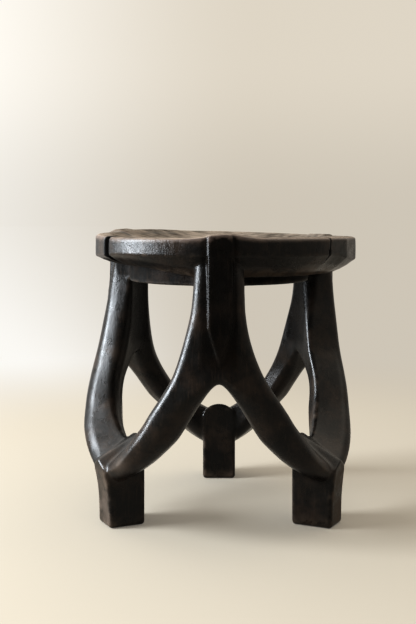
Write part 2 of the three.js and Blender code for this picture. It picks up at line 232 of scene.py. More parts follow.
def smoothstep(x, low, high):
    """From 0 at low to 1 at high, with an eased start and end."""
    t = np.clip((x - low) / (high - low), 0.0, 1.0)
    return t * t * (3 - 2 * t)


def along(rows, x, ease=14.0):
    """The value of a table of rows at x, with its corners eased."""
    table = np.array(rows, float)
    values = [np.interp(x + ease * k / 3, table[:, 0], table[:, 1]) for k in range(-3, 4)]
    return sum(values) / len(values)


def wrapped(degrees):
    """The same angle between -180 and 180."""
    return (degrees + 180.0) % 360.0 - 180.0


# Blended maximum and minimum of two distances: rounded, chamfered.
def round_max(a, b, r):
    return np.minimum(np.maximum(a, b), -r) + np.hypot(np.maximum(a + r, 0), np.maximum(b + r, 0))


def round_min(a, b, r):
    return np.maximum(np.minimum(a, b), r) - np.hypot(np.maximum(r - a, 0), np.maximum(r - b, 0))


def chamfer_max(a, b, r):
    return np.maximum(np.maximum(a, b), (a + b + r) * math.sqrt(0.5))


def curve_points(points, per_span=14):
    """A smooth curve through the points, as a dense polyline."""
    p = np.array(points, float)
    p = np.vstack([2 * p[0] - p[1], p, 2 * p[-1] - p[-2]])
    t = np.linspace(0, 1, per_span, endpoint=False)[:, None]
    spans = []
    for a, b, c, d in zip(p, p[1:], p[2:], p[3:]):
        spans.append(
            0.5 * (2 * b + (c - a) * t + (2 * a - 5 * b + 4 * c - d) * t**2
                   + (3 * b - a - 3 * c + d) * t**3)
        )
    return np.vstack(spans + [p[-2][None]])


class Flat:
    """A signed distance in a plane, kept on a grid and read between its points."""

    STEP = 1.5

    def __init__(self, low, high, values):
        self.low = np.array(low, float)
        self.u = np.arange(low[0], high[0] + self.STEP, self.STEP)
        self.v = np.arange(low[1], high[1] + self.STEP, self.STEP)
        self.grid = values(*np.meshgrid(self.u, self.v, indexing="ij"))

    def __call__(self, x, y):
        i = np.clip((x - self.low[0]) / self.STEP, 0, len(self.u) - 1.001)
        j = np.clip((y - self.low[1]) / self.STEP, 0, len(self.v) - 1.001)
        i0, j0 = i.astype(int), j.astype(int)
        a, b = i - i0, j - j0
        g = self.grid
        low = g[i0, j0] * (1 - a) + g[i0 + 1, j0] * a
        high = g[i0, j0 + 1] * (1 - a) + g[i0 + 1, j0 + 1] * a
        return low * (1 - b) + high * b


def nearest(line, x, y):
    """Distance to a polyline, and on which side of it each point lies."""
    best = np.full(x.shape, 1e9)
    side = np.ones(x.shape)
    for a, b in zip(line[:-1], line[1:]):
        run = b - a
        t = np.clip(((x - a[0]) * run[0] + (y - a[1]) * run[1]) / (run @ run), 0, 1)
        dx, dy = x - a[0] - t * run[0], y - a[1] - t * run[1]
        d = np.hypot(dx, dy)
        closer = d < best
        best[closer] = d[closer]
        side[closer] = np.sign(run[0] * dy - run[1] * dx)[closer]
    return best, side


def edge_field(points, sign):
    """Signed distance to an arm's edge in the unrolled wall."""
    line = curve_points(points)

    def values(x, y):
        distance, side = nearest(line, x, y)
        return distance * side * sign

    return Flat(*ARM_PLANE, values)


def seat_values(r, z):
    """Signed distance to the seat's section."""
    p = np.array(SEAT_PROFILE, float)
    distance, _ = nearest(p, r, z)
    inside = np.zeros(r.shape, bool)
    for a, b in zip(p, np.roll(p, -1, 0)):
        rise = (b[1] - a[1]) or 1e-9
        inside ^= ((a[1] > z) != (b[1] > z)) & (r < (b[0] - a[0]) * (z - a[1]) / rise + a[0])
    return np.where(inside, -distance, distance)


window_outer = edge_field(WINDOW_EDGE, 1)
window_inner = edge_field(WINDOW_EDGE_INSIDE, 1)
arch_outer = edge_field(ARCH_EDGE, -1)
arch_inner = edge_field(ARCH_EDGE_INSIDE, -1)
seat_section = Flat(*SEAT_PLANE, seat_values)


def leftwards(azimuth, span):
    """From 0 to 1 and back over four azimuths, counted to the left of the front."""
    first, full, fading, last = span
    left = -wrapped(azimuth)
    return smoothstep(left, first, full) * (1 - smoothstep(left, fading, last))


def rim_rise(azimuth):
    """How much higher than its middle height the rim is, all round."""
    rear_left = np.maximum(0, np.cos(np.radians(azimuth - REAR_LEFT)))
    rear_right = np.maximum(0, np.cos(np.radians(azimuth - REAR_RIGHT)))
    front = np.exp(-((wrapped(azimuth) / RIM_RISE_FRONT_SPREAD) ** 2))
    step = RIM_STEP * leftwards(azimuth, RIM_STEP_AZIMUTHS)
    rise = RIM_RISE_FRONT * front + RIM_RISE_REAR_LEFT * rear_left + step
    return rise - RIM_DROP_REAR_RIGHT * rear_right


def crack_offset(crack, x, y, z):
    """How far inside the wedge of an open crack each point lies."""
    azimuth, width, depth, low, high = crack
    a = math.radians(azimuth)
    out = (x - SEAT_SHIFT_X) * math.sin(a) - y * math.cos(a)
    (up, up_length), (outwards, out_length) = CRACK_WANDER_UP, CRACK_WANDER_OUT
    wander = up * np.sin(z / up_length + azimuth) + outwards * np.sin(out / out_length + azimuth)
    sideways = (x - SEAT_SHIFT_X) * math.cos(a) + y * math.sin(a) + wander
    half = 0.5 * width * np.clip((out - SEAT_RADIUS + depth) / depth, 0, 1.3)
    gap = np.minimum(half - np.abs(sideways), out - SEAT_RADIUS + depth)
    return np.minimum(gap, np.minimum(z - low, high - z))


def seat(x, y, z):
    """Signed distance to the seat with its rim, bowl, facets and cracks."""
    r = np.hypot(x - SEAT_SHIFT_X, y)
    azimuth = np.degrees(np.arctan2(x - SEAT_SHIFT_X, -y))
    for first, last in RIM_FLATS:
        middle, half = (first + last) / 2, (last - first) / 2
        turn = wrapped(azimuth - middle)
        chord = r * np.cos(np.radians(turn)) / math.cos(math.radians(half))
        r = np.where(np.abs(turn) < half, np.minimum(chord, r + RIM_FLAT_DEPTH), r)
    rise = rim_rise(azimuth)
    lifted = z - rise * smoothstep(z, DISH_FLOOR, RIM_TOP + rise)
    deeper = np.zeros(x.shape)
    for most, depth in RIM_DEEPER:
        there = smoothstep(np.cos(np.radians(azimuth - most)), *DEEPER_NEAR)
        deeper = np.maximum(deeper, depth * there)
    deeper = deeper * smoothstep(r, *DEEPER_OVER)
    rim_bottom = RIM_BOTTOM - deeper
    bowl_bottom = BOWL_BOTTOM + BOWL_FLATTER * leftwards(azimuth, BOWL_FLATTER_SPAN)
    spread = (RIM_BOTTOM - BOWL_BOTTOM) / (rim_bottom - bowl_bottom)
    on_bowl = BOWL_BOTTOM + (z - bowl_bottom) * np.where(z > bowl_bottom, spread, 1.0)
    above = lifted + deeper * (1 - smoothstep(z, rim_bottom, DEEPER_UP_TO))
    d = seat_section(r, np.where(z < rim_bottom, on_bowl, above))
    for crack in CRACKS:
        d = np.maximum(d, crack_offset(crack, x, y, z))
    return d


def stool(p):
    """Signed distance to the stool, in millimetres from the legs' axis on the floor."""
    x, y, z = p[:, 0], p[:, 1], p[:, 2]
    r = np.hypot(x, y)
    azimuth = np.degrees(np.arctan2(x, -y))
    column = 120.0 * np.round(azimuth / 120.0)
    turn = azimuth - column
    off = np.abs(turn)
    s = np.radians(off) * UNROLL_RADIUS
    lean = along(WALL_LEAN, z) * np.sin(np.radians(azimuth))
    swelling = 1 - smoothstep(np.abs(wrapped(azimuth + 120)), *LEFT_SWELL_SPAN)
    outer = along(WALL_OUTER, z) + lean + along(LEFT_SWELL, z) * swelling
    from_right_rear = np.abs(wrapped(azimuth - 120))
    thicker = 1 - smoothstep(from_right_rear, *RIGHT_REAR_SPAN)
    inner = along(WALL_INNER, z) - thicker * along(RIGHT_REAR_THICKENING, z)
    column_index = wrapped(column)
    left, front = column_index < -1, np.abs(column_index) < 1
    across = np.clip((r - inner) / (outer - inner), 0, 1)

    trim = np.where((turn > 0) & front, TRIM_FRONT, 0.0)
    trim = np.where((turn > 0) & (column_index > 1), TRIM_RIGHT, trim)
    trimmed = s + trim * np.exp(-(((z - TRIM_HEIGHT) / TRIM_SPREAD) ** 2))
    trimmed = trimmed - np.where(front, FRONT_FULLER, 0)
    to_rear = np.abs(wrapped(azimuth - 180)) < 60
    arch_z = z - np.where(to_rear, along(REAR_ARCH_RISE, s), 0)
    arch_s = np.hypot(s, ARCH_TOP_ROUND) - ARCH_TOP_ROUND + ARCH_NEARER
    window = (1 - across) * window_inner(trimmed, z) + across * window_outer(trimmed, z)
    arch = (1 - across) * arch_inner(arch_s, arch_z) + across * arch_outer(arch_s, arch_z)
    beyond = r - LEFT_CROWN_FROM
    crown = LEFT_CROWN * 0.5 * (beyond + np.hypot(beyond, LEFT_CROWN_EASE))
    window = window + np.where(left, crown * smoothstep(z, *LEFT_CROWN_HEIGHTS), 0)
    out, inn = r - outer, inner - r

    left_round = along(LEFT_OUTER_ROUND, z)
    outer_round = np.where(left, left_round, RIGHT_OUTER_ROUND)
    outer_round = np.where(front, along(FRONT_ROUND, s), outer_round)
    at_foot = smoothstep(s, *TOWARDS_FOOT)
    outer_round = outer_round + (OUTER_ROUND_AT_FOOT - outer_round) * at_foot
    inner_round = np.where(left, along(LEFT_INNER_ROUND, z), along(RIGHT_INNER_ROUND, z))
    inner_round = np.where(front, WINDOW_INNER_ROUND, inner_round)
    inner_round = inner_round + (WINDOW_INNER_ROUND - inner_round) * at_foot
    d = round_max(window, out, outer_round)
    d = np.maximum(d, round_max(window, inn, inner_round))
    d = np.maximum(d, round_max(arch, out, along(ARCH_OUTER_ROUND, z)))
    d = np.maximum(d, round_max(arch, inn, along(ARCH_INNER_ROUND, z)))
    d = np.maximum(d, z - WALL_TOP)

    forward = r * np.cos(np.radians(off))
    sideways = np.abs(r * np.sin(np.radians(turn)) - np.where(front, PILASTER_SHIFT, 0))
    grown = np.clip((z - PILASTER_POINT) / (PILASTER_FULL - PILASTER_POINT), 0, 1)
    face = along(PILASTER_FACE, z) + lean
    half = PILASTER_HALF * grown
    slope = math.hypot(1, PILASTER_FLANK)
    flank = (forward - face + PILASTER_FLANK * (sideways - half)) / slope
    top = RIM_TOP + rim_rise(azimuth) - PILASTER_BELOW_RIM
    pilaster = round_max(forward - face, flank, PILASTER_CORNER)
    inner_end = PILASTER_INNER_END + PILASTER_TOP_SHORTER * smoothstep(z, *SHORTER_HEIGHTS)
    pilaster = np.maximum(pilaster, np.maximum(sideways - PILASTER_FOOTING, inner_end - forward))
    pilaster = np.maximum(pilaster, PILASTER_POINT - PILASTER_ROOT - z)
    pilaster = chamfer_max(pilaster, z - top, PILASTER_TOP_CHAMFER)
    d = round_min(d, pilaster, PILASTER_JOIN)

    widening = (DRUM_AT_COLUMNS - DRUM_RADIUS) * (1 - smoothstep(off, *DRUM_WIDENS))
    drum_ends = np.maximum(SEAT_UNDERSIDE - z, z - DRUM_TOP)
    drum = round_max(r - DRUM_RADIUS - widening, drum_ends, DRUM_EDGE)
    top = round_min(drum, seat(x, y, z), SEAT_JOIN)
    d = round_min(d, top, np.where(front, FRONT_JOIN, REAR_JOIN))

    foot_turn = np.radians(60 - off)
    away = r * np.cos(foot_turn)
    beside = r * np.sin(foot_turn)
    right = np.abs(wrapped(azimuth - 60)) < 60
    foot_inner = FOOT_INNER - np.where(right, RIGHT_FOOT_INWARDS, 0)
    taper = (FOOT_INNER_HALF - FOOT_OUTER_HALF) / (FOOT_OUTER - FOOT_INNER)
    side = (beside - (FOOT_INNER_HALF - taper * (away - foot_inner))) / math.hypot(1, taper)
    fall = (HEAD_RIDGE_INNER - HEAD_RIDGE_OUTER) / (HEAD_OUTER - FOOT_INNER)
    ridge = HEAD_RIDGE_INNER - fall * (away - foot_inner)
    width = np.clip(FOOT_INNER_HALF - taper * (away - foot_inner), *HEAD_HALF_LIMITS)
    reach = np.minimum(beside / width, HEAD_REACH_LIMIT)
    arched = HEAD_ROUND * (1 - np.sqrt(1 - reach * reach))
    roofed = HEAD_SLOPE * (np.hypot(beside, HEAD_RIDGE_EASE) - HEAD_RIDGE_EASE)
    outwards = smoothstep(away - foot_inner, *HEAD_TO_ROOF)
    head = (z - ridge + (1 - outwards) * arched + outwards * roofed) * HEAD_STEEPNESS
    ends = np.maximum(foot_inner - away, away - outer - FOOT_PROUD)
    post = round_max(ends, side, FOOT_ROUND)
    post = round_max(post, -z, FOOT_EDGE)
    post = round_max(post, head, HEAD_EDGE)
    return round_min(d, post, FOOT_JOIN)


def gradient(p, reach=0.5):
    """The distance and its slope at each point, from four points round it."""
    corners = np.array([(1, 1, 1), (1, -1, -1), (-1, 1, -1), (-1, -1, 1)], float) * reach
    values = [stool(p + corner) for corner in corners]
    slope = sum(v[:, None] * c for v, c in zip(values, corners)) / (4 * reach * reach)
    return sum(values) / 4, slope


def sampled(low, high):
    """The distance on a grid, worked out only in blocks that the surface may cross."""
    blocks = np.ceil((high - low) / (GRID_STEP * BLOCK)).astype(int)
    index = np.stack(np.meshgrid(*[np.arange(n) for n in blocks], indexing="ij"), -1).reshape(-1, 3)
    span = GRID_STEP * BLOCK
    centre = stool(low + (index + 0.5) * span)
    near = np.abs(centre) < span * HALF_DIAGONAL * STEEPEST + SLACK
    values = np.where(centre < 0, -FAR_AWAY, FAR_AWAY).reshape(blocks)
    for axis in range(3):
        values = np.repeat(values, BLOCK, axis)
    values = np.pad(values, ((0, 1), (0, 1), (0, 1)), mode="edge")
    local = np.stack(np.meshgrid(*[np.arange(BLOCK + 1)] * 3, indexing="ij"), -1).reshape(-1, 3)
    active = index[near]
    for chunk in np.array_split(active, max(1, len(active) // BLOCKS_AT_ONCE)):
        at = (chunk[:, None] * BLOCK + local[None]).reshape(-1, 3)
        values[at[:, 0], at[:, 1], at[:, 2]] = stool(low + at * GRID_STEP)
    return values


def surface_net(values, low):
    """Points and four-sided faces of the surface where the values change sign."""
    inside = values < 0
    shape = np.array(values.shape) - 1
    offsets = [(i, j, k) for i in (0, 1) for j in (0, 1) for k in (0, 1)]

    def corner(array, o):
        a, b, c = (slice(o[n], o[n] + shape[n]) for n in range(3))
        return array[a, b, c]

    count = sum(corner(inside, o).astype(np.uint8) for o in offsets)
    cells = np.argwhere((count > 0) & (count < 8))
    number = np.full(shape, -1)
    number[tuple(cells.T)] = np.arange(len(cells))
    at = {o: values[tuple((cells + o).T)] for o in offsets}
    total = np.zeros((len(cells), 3))
    hits = np.zeros(len(cells))
    for a in offsets:
        for axis in range(3):
            if a[axis]:
                continue
            b = tuple(v + (n == axis) for n, v in enumerate(a))
            crosses = (at[a] < 0) != (at[b] < 0)
            gap = np.where(crosses, at[a] - at[b], 1.0)
            point = np.tile(np.array(a, float), (len(cells), 1))
            point[:, axis] = at[a] / gap
            total[crosses] += point[crosses]
            hits += crosses
    points = low + (cells + total / hits[:, None]) * GRID_STEP

    faces = []
    for axis in range(3):
        start = [slice(None)] * 3
        end = [slice(None)] * 3
        start[axis], end[axis] = slice(0, -1), slice(1, None)
        first, second = inside[tuple(start)], inside[tuple(end)]
        edges = np.argwhere(first != second)
        u, w = np.eye(3, dtype=int)[(axis + 1) % 3], np.eye(3, dtype=int)[(axis + 2) % 3]
        quad = np.stack([number[tuple((edges - o).T)] for o in (0 * u, u, u + w, w)], 1)
        leaving = first[tuple(edges.T)]
        quad[~leaving] = quad[~leaving][:, ::-1]
        faces.append(quad)
    return points, np.vstack(faces)


def settled(points, rounds):
    """Points moved onto the surface."""
    for _ in range(rounds):
        value, slope = gradient(points)
        step = value / np.maximum((slope**2).sum(1), FLATTEST)
        points = points - np.clip(step, -LONGEST_MOVE, LONGEST_MOVE)[:, None] * slope
    return points


def evened(points, faces, rounds):
    """Points spread more evenly along the surface."""
    ends = np.vstack([faces[:, [0, 1]], faces[:, [1, 2]], faces[:, [2, 3]], faces[:, [3, 0]]])
    count = np.bincount(ends[:, 0], minlength=len(points))
    for _ in range(rounds):
        mean = np.stack(
            [np.bincount(ends[:, 0], points[ends[:, 1], n], len(points)) for n in range(3)], 1
        ) / np.maximum(count, 1)[:, None]
        points = settled(points * 0.5 + mean * 0.5, 1)
    return points


def sharpened(points, faces, hold=0.08):
    """Points drawn to the creases of the surface, where planes of the faces round them meet."""
    middles = settled(points[faces].mean(1), 2)
    _, slope = gradient(middles, 0.3)
    normals = slope / np.maximum(np.linalg.norm(slope, axis=1), 1e-6)[:, None]
    heights = (normals * middles).sum(1)
    count = len(points)
    system = np.zeros((count, 3, 3))
    target = np.zeros((count, 3))
    for corner in range(4):
        at = faces[:, corner]
        for i in range(3):
            target[:, i] += np.bincount(at, normals[:, i] * heights, count)
            for j in range(3):
                system[:, i, j] += np.bincount(at, normals[:, i] * normals[:, j], count)
    system += np.eye(3) * hold
    moved = np.linalg.solve(system, (target + hold * points)[..., None])[..., 0]
    step = moved - points
    length = np.linalg.norm(step, axis=1)
    keep = np.minimum(1.0, CREASE_MOVE * GRID_STEP / np.maximum(length, 1e-6))
    return points + step * keep[:, None]


def hashed(cell, seed):
    """A number from 0 to 1 for each whole-numbered cell."""
    x, y, z = (cell[:, n].astype(np.int64) for n in range(3))
    h = x * 73856093 ^ y * 19349663 ^ z * 83492791 ^ seed * 2654435761
    h = (h ^ (h >> 13)) * 1274126177
    h = h ^ (h >> 16)
    return (h & 0xFFFFFF) / float(0xFFFFFF)


def noise(p, size, seed):
    """Smooth noise from -1 to 1, with lumps about size across."""
    q = p / size
    cell = np.floor(q)
    t = q - cell
    t = t * t * (3 - 2 * t)
    total = 0
    for o in [(i, j, k) for i in (0, 1) for j in (0, 1) for k in (0, 1)]:
        weight = np.prod(np.where(np.array(o) == 1, t, 1 - t), axis=1)
        total = total + weight * hashed(cell + np.array(o), seed)
    return total * 2 - 1


def scallops(p, size, seed):
    """Shallow hollows side by side, as a small adze leaves them: 0 at their middles, up to 1."""
    q = p / size
    cell = np.floor(q)
    best = np.full(len(p), 9.0)
    for i in (-1, 0, 1):
        for j in (-1, 0, 1):
            for k in (-1, 0, 1):
                c = cell + (i, j, k)
                jitter = np.stack([hashed(c, seed + n) for n in range(3)], 1)
                best = np.minimum(best, ((c + jitter - q) ** 2).sum(1))
    return np.minimum(best, 1.0)


def places(points, normal):
    """How far each point belongs to the seat's top, its underside, the rim and the upper half."""
    x, y, z = points.T
    seat_top = smoothstep(normal[:, 2], *FACING_UP) * smoothstep(z, *DISH_FROM)
    under = smoothstep(z, *UNDER_FROM) * (1 - smoothstep(z, *UNDER_TO))
    widening = UNDER_WIDENS * (z - UNDER_FROM[0])
    under = under * (1 - smoothstep(np.hypot(x, y) - widening, *UNDER_RADIUS))
    on_rim = smoothstep(z, *RIM_FROM) * (1 - seat_top)
    rough = smoothstep(z, *ROUGH_FROM) * (1 - seat_top)
    return seat_top, under, on_rim, rough


def tool_marks(points, convex, seat_top, under, on_rim, rough):
    """Height of the hand-worked relief at each point."""
    marks = 0
    for size, seed, stretch, (everywhere, upper, rim, below) in MARKS:
        depth = everywhere + upper * rough + rim * on_rim + below * under
        marks = marks + scallops(points * np.array(stretch), size, seed) * depth
    rings = scallops(points * np.array(RINGS_STRETCH), RINGS_SIZE, RINGS_SEED) * RINGS_DEPTH
    lumps = sum(depth * noise(points, size, seed) for depth, size, seed in LUMPS)
    pits = (PITS_UPPER * rough + PITS_UNDER * under) * noise(points, PITS_SIZE, PITS_SEED)
    relief = np.where(seat_top > 0.5, rings, marks) - MARKS_MEAN + lumps + pits
    grounded = 1 - smoothstep(points[:, 2], *SOLE_HEIGHTS)
    relief = relief * (1 - grounded) * (1 - EDGE_SPARED * smoothstep(convex, *CRISP))
    return np.clip(relief, *RELIEF_LIMITS)


def worn_facets(points, outward, azimuth, height):
    """Where the feet's outer faces and the ends of the arms above them are worn bare."""
    from_foot = wrapped(azimuth - 60)
    foot_off = np.abs(from_foot - 120 * np.round(from_foot / 120))
    facet = smoothstep(outward, *FACING_OUT) * (1 - smoothstep(height, *FACET_TO))
    facet = facet * (1 - smoothstep(foot_off, *FACET_SPAN))
    for spot_azimuth, amount in NOSE_WEAR:
        a = math.radians(spot_azimuth)
        spot = np.array([NOSE_RADIUS * math.sin(a), -NOSE_RADIUS * math.cos(a), NOSE_HEIGHT])
        near = np.exp(-(np.linalg.norm(points - spot, axis=1) / NOSE_SPREAD) ** 2)
        facet = np.maximum(facet, amount * near)
    return facet


def matt_and_shaded_places(azimuth, radius, height):
    """Dull stain on the pilasters, and painted shade inside the top of the right column."""
    across = np.radians(np.abs(wrapped(azimuth - 120 * np.round(azimuth / 120))))
    matt_and_shade = 1 - smoothstep(across * radius, *PILASTER_DULL)
    matt_and_shade = matt_and_shade * smoothstep(height, *PILASTER_DULL_FROM)
    # Painted shade: inside the top of the right column the wood is made darker and duller.
    shaded = np.exp(-(((azimuth - SHADED_AZIMUTH) / SHADED_SPREAD) ** 2))
    shaded = shaded * smoothstep(height, *SHADED_FROM) * (1 - smoothstep(height, *SHADED_TO))
    return np.maximum(matt_and_shade, shaded * (1 - smoothstep(radius, *SHADED_RADIUS)))


def worked_surface():
    """Points, faces and the shade masks of the finished surface, in millimetres from the axis."""
    low, high = np.array(GRID_LOW), np.array(GRID_HIGH)
    points, faces = surface_net(sampled(low, high), low)
    points = evened(settled(points, 2), faces, 2)
    points = sharpened(points, faces)

    _, slope = gradient(points, NORMAL_REACH)
    normal = slope / np.maximum(np.linalg.norm(slope, axis=1), 1e-6)[:, None]
    convex, _ = gradient(points, CURVE_REACH)
    convex = convex / CURVE_REACH

    x, y, height = points.T
    radius, azimuth = np.hypot(x, y), np.degrees(np.arctan2(x, -y))
    seat_top, under, on_rim, rough = places(points, normal)
    relief = tool_marks(points, convex, seat_top, under, on_rim, rough)
    worked = points + normal * relief[:, None]
    worked[:, 2] = np.maximum(worked[:, 2], 0.0)

    matt_and_shade = matt_and_shaded_places(azimuth, radius, height)
    outward = (normal[:, 0] * x + normal[:, 1] * y) / np.maximum(radius, 1)
    # Partly painted bounce light: faces under the rim turned down to the floor get the bare wood
    # colour.
    worn_and_bounce_strip = smoothstep(-normal[:, 2], *FACING_DOWN) * smoothstep(height, *STRIP_FROM)
    worn_and_bounce_strip = worn_and_bounce_strip * (1 - smoothstep(height, *STRIP_TO))
    worn_and_bounce_strip = worn_and_bounce_strip * smoothstep(np.hypot(x - SEAT_SHIFT_X, y), *STRIP_RADIUS)
    split = np.max([crack_offset(crack, x, y, height) for crack in CRACKS], axis=0)
    masks = {
        "edge": smoothstep(convex, *EDGE_CONVEX) * (1 - MATT_AND_SHADE_FEWER_EDGES * matt_and_shade),
        "facet": worn_facets(worked, outward, azimuth, height),
        "seat_top": seat_top,
        "rough": rough,
        "under": under,
        "worn_and_bounce_strip": worn_and_bounce_strip,
        "toe": 1 - smoothstep(height, *TOE_TO),
        "top_edge": smoothstep(convex, *TOP_EDGE_CONVEX) * smoothstep(height, *TOP_EDGE_FROM),
        "matt_and_shade": matt_and_shade * (1 - seat_top),
        "split": smoothstep(split, *SPLIT_DEPTH),
    }
    return worked, faces, masks


def made_mesh(name, points, faces, masks):
    """A smooth mesh in metres, with each mask as a value at its points."""
    mesh = bpy.data.meshes.new(name)
    mesh.from_pydata((points * MM).tolist(), [], faces.tolist())
    mesh.update()
    mesh.shade_smooth()
    for key, values in masks.items():
        layer = mesh.attributes.new(key, "FLOAT", "POINT")
        layer.data.foreach_set("value", values.astype(np.float32))
    return mesh


def thinned(obj, triangles):
    """The object's mesh with no more than so many triangles."""
    now = sum(len(p.vertices) - 2 for p in obj.data.polygons)
    if now <= triangles:
        return
    modifier = obj.modifiers.new("thin", "DECIMATE")
    modifier.ratio = triangles / now
    shown = obj.evaluated_get(bpy.context.evaluated_depsgraph_get())
    mesh = bpy.data.meshes.new_from_object(shown)
    obj.modifiers.clear()
    obj.data = mesh
    mesh.shade_smooth()


class Nodes:
    """Short ways to add and link shader nodes."""

    def __init__(self, owner):
        owner.use_nodes = True
        self.tree = owner.node_tree
        self.tree.nodes.clear()

    def add(self, kind, **inputs):
        node = self.tree.nodes.new("ShaderNode" + kind)
        for key, value in inputs.items():
            self.put(node, key, value)
        return node

    def put(self, node, key, value):
        socket = node.inputs[key if isinstance(key, int) else key.replace("_", " ")]
        if isinstance(value, bpy.types.NodeSocket):
            self.tree.links.new(value, socket)
        else:
            socket.default_value = value

    def mask(self, name):
        node = self.add("Attribute")
        node.attribute_name = name
        return node.outputs["Fac"]

    def math(self, operation, a, b=0.0, clamp=False):
        node = self.add("Math")
        node.operation = operation
        node.use_clamp = clamp
        self.put(node, 0, a)
        self.put(node, 1, b)
        return node.outputs[0]

    def total(self, start, parts):
        """A start and weighted parts added up, and kept between 0 and 1."""
        for value, amount in parts:
            start = self.math("ADD", start, self.math("MULTIPLY", value, amount))
        start.node.use_clamp = True
        return start

    def stretched(self, vector, scale):
        node = self.add("Mapping", Vector=vector)
        node.inputs["Scale"].default_value = scale
        return node.outputs["Vector"]

    def noise(self, vector, scale, detail, roughness):
        node = self.add("TexNoise", Vector=vector, Scale=scale, Detail=detail, Roughness=roughness)
        return node.outputs["Fac"]

    def bump(self, height, strength_and_depth, **inputs):
        strength, depth = strength_and_depth
        node = self.add("Bump", Height=height, Strength=strength, Distance=depth, **inputs)
        return node.outputs["Normal"]

    def ramp(self, value, low, high):
        node = self.add("MapRange", Value=value)
        node.interpolation_type = "SMOOTHSTEP"
        self.put(node, "From Min", low)
        self.put(node, "From Max", high)
        return node.outputs["Result"]

    def mix(self, factor, a, b):
        node = self.add("Mix")
        node.data_type = "RGBA"
        sockets = [s for s in node.inputs if s.type == "RGBA"]
        self.put(node, 0, factor)
        for socket, value in zip(sockets, (a, b)):
            if isinstance(value, bpy.types.NodeSocket):
                self.tree.links.new(value, socket)
            else:
                socket.default_value = (*value, 1.0)
        return [s for s in node.outputs if s.type == "RGBA"][0]


# Colours of the wood: the stain and its warmer clouds, streaks along the grain, bare worn wood,
# dust on the seat, the rubbed rim, and painted shade in the cracks. The bare wood colour is also
# painted on the strip under the rim as bounce light from the floor.
STAIN = (0.0022, 0.0018, 0.0014)
STAIN_WARM = (0.0145, 0.0093, 0.0062)
STREAK = (0.026, 0.017, 0.0115)
WORN_AND_BOUNCE = (0.060, 0.043, 0.031)
DUST = (0.185, 0.155, 0.127)
RUBBED = (0.15, 0.11, 0.09)
CRACK_SHADE = (0.0015, 0.0012, 0.001)
# Scale, detail and roughness of each pattern. The higher the scale, the finer it is.
GRAIN, FIBRES, SPECKLE = (420.0, 5.0, 0.6), (160.0, 5.0, 0.6), (560.0, 3.0, 0.6)
CLOUDS, PATCHES = (24.0, 6.0, 0.65), (60.0, 6.0, 0.65)
# The values of a pattern between which what it brings comes, and how much of that shows.
WARM_FROM, STREAK_FROM, DUST_FROM, ROUGHER_FROM = (0.43, 0.68), (0.52, 0.75), (0.3, 0.62), (0.3, 0.7)
STREAK_SHOWN, DUST_SHOWN, RUBBED_SHOWN = 0.45, 0.7, 0.25
# Dull wood, and the painted shade at the top of the right column, have fewer warm clouds and
# streaks.
MATT_AND_SHADE_LESS_WARM = 0.7
# Bare wood: mask, the values of the patches between which it comes, and how much of it shows.
# On the strip under the rim it is partly painted bounce light from the floor.
BARE_AND_BOUNCE = [("facet", 0.3, 0.6, 0.5), ("toe", 0.35, 0.6, 0.35), ("edge", 0.46, 0.66, 0.4),
        ("worn_and_bounce_strip", 0.3, 0.6, 0.7)]
# Grain runs up the stool, and the dish's fibres from left to right: scale along each axis.
UP_THE_GRAIN, ACROSS_THE_SEAT = (1.0, 1.0, 0.12), (0.15, 1.0, 1.0)
# Roughness where the wood is smoothest, and what the patches add.
SMOOTHEST, PATCHES_ROUGHER, SHINE = 0.25, 0.14, 0.2
# Bump: share of the grain, of the speckle everywhere, and of the speckle on the upper half; then
# strength and depth in metres of the fine bump and of the soft one.
GRAIN_SHARE, SPECKLE_SHARE, ROUGH_SHARE = 0.5, 0.45, 0.9
FINE_BUMP, SOFT_BUMP = (0.5, 0.0006), (0.25, 0.0012)


